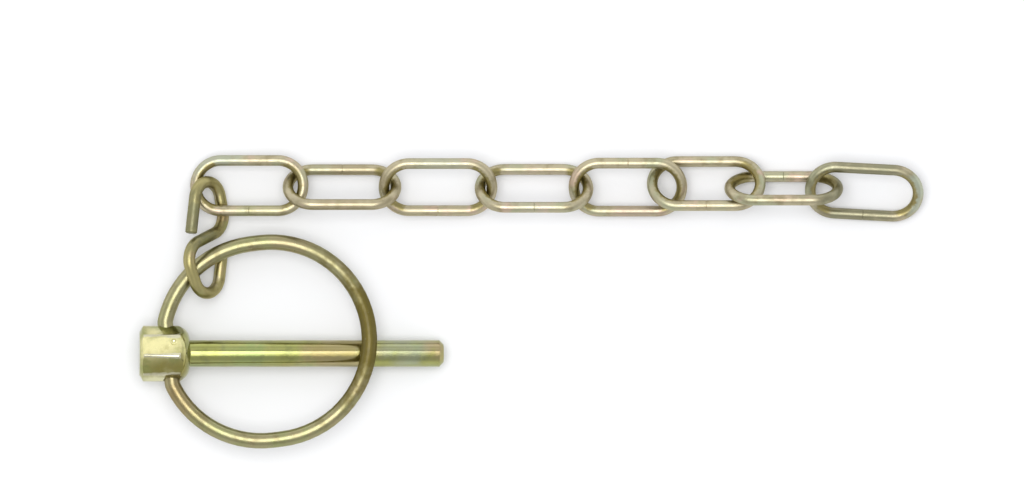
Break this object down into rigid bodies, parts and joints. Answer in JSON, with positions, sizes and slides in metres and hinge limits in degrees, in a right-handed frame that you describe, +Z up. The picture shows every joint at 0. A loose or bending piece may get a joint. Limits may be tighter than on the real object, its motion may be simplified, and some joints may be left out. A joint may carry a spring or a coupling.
{
  "type": "lynch pin",
  "caption": "Retaining pin with an eight-sided head, a spring-wire snap ring, an S-hook and a welded-style wire chain to keep it with the implement.",
  "frame": {"origin": "on the pin's axis where the head meets the shank", "axes": "+X along the pin's length towards its tip, less the few degrees by which the lying pin dips at its tip; +Y across, towards the chain; +Z up from the surface that the set lies on"},
  "size_m": [0.1309, 0.0489, 0.0096],
  "materials": {
    "pin_yellow_zinc": "yellow passivated zinc plate on turned steel, satin",
    "ring_yellow_zinc": "yellow passivated zinc plate on drawn spring wire, glossy",
    "hook_yellow_zinc": "yellow passivated zinc plate on bent wire, darker, satin",
    "chain_yellow_zinc": "pale iridescent yellow passivated zinc plate on wire, satin"
  },
  "bodies": {
    "pin": {"pin": "pin_yellow_zinc"},
    "ring": {"ring": "ring_yellow_zinc"},
    "s_hook": {"s_hook": "hook_yellow_zinc"},
    "chain_link_1": {"chain_link_1": "chain_yellow_zinc"},
    "chain_link_2": {"chain_link_2": "chain_yellow_zinc"},
    "chain_link_3": {"chain_link_3": "chain_yellow_zinc"},
    "chain_link_4": {"chain_link_4": "chain_yellow_zinc"},
    "chain_link_5": {"chain_link_5": "chain_yellow_zinc"},
    "chain_link_6": {"chain_link_6": "chain_yellow_zinc"},
    "chain_link_7": {"chain_link_7": "chain_yellow_zinc"},
    "chain_link_8": {"chain_link_8": "chain_yellow_zinc"}
  },
  "joints": [
    {"name": "ring_swing", "type": "hinge", "parent": "pin", "child": "ring", "pos_m": [-0.00349, 0, 0.00019], "axis": [0.1199, -0.9889, 0.0879], "range_deg": [0, 345]},
    {"name": "hook_swing", "type": "hinge", "parent": "ring", "child": "s_hook", "pos_m": [0.0016, 0.01466, -0.00072], "axis": [-0.775, -0.632, 0.0073], "range_deg": [-120, 8]},
    {"name": "chain_link_1_turn", "type": "hinge", "parent": "s_hook", "child": "chain_link_1", "pos_m": [0.00511, 0.02798, -0.00158], "axis": [-0.0696, 0.0698, 0.9951], "range_deg": [-12, 90]},
    {"name": "chain_link_2_turn", "type": "hinge", "parent": "chain_link_1", "child": "chain_link_2", "pos_m": [0.02055, 0.02773, -0.00052], "axis": [0, 0.7193, 0.6947], "range_deg": [-105, 105]},
    {"name": "chain_link_3_turn", "type": "hinge", "parent": "chain_link_2", "child": "chain_link_3", "pos_m": [0.03655, 0.02773, -0.00059], "axis": [-0.0081, 0.3584, -0.9335], "range_deg": [-105, 105]},
    {"name": "chain_link_4_turn", "type": "hinge", "parent": "chain_link_3", "child": "chain_link_4", "pos_m": [0.05255, 0.02753, -0.00069], "axis": [0.0066, 0.6561, 0.7547], "range_deg": [-105, 105]},
    {"name": "chain_link_5_turn", "type": "hinge", "parent": "chain_link_4", "child": "chain_link_5", "pos_m": [0.0682, 0.02773, -0.0013], "axis": [0.0083, -0.309, 0.951], "range_deg": [-105, 105]},
    {"name": "chain_link_6_turn", "type": "hinge", "parent": "chain_link_5", "child": "chain_link_6", "pos_m": [0.08125, 0.02833, -0.00089], "axis": [0.0153, -0.4848, -0.8745], "range_deg": [-105, 105]},
    {"name": "chain_link_7_turn", "type": "hinge", "parent": "chain_link_6", "child": "chain_link_7", "pos_m": [0.09415, 0.02753, 0.00017], "axis": [0, 0.8829, 0.4695], "range_deg": [-105, 105]},
    {"name": "chain_link_8_turn", "type": "hinge", "parent": "chain_link_7", "child": "chain_link_8", "pos_m": [0.10761, 0.02723, -0.00188], "axis": [0.0213, 0.4062, -0.9135], "range_deg": [-105, 105]}
  ]
}
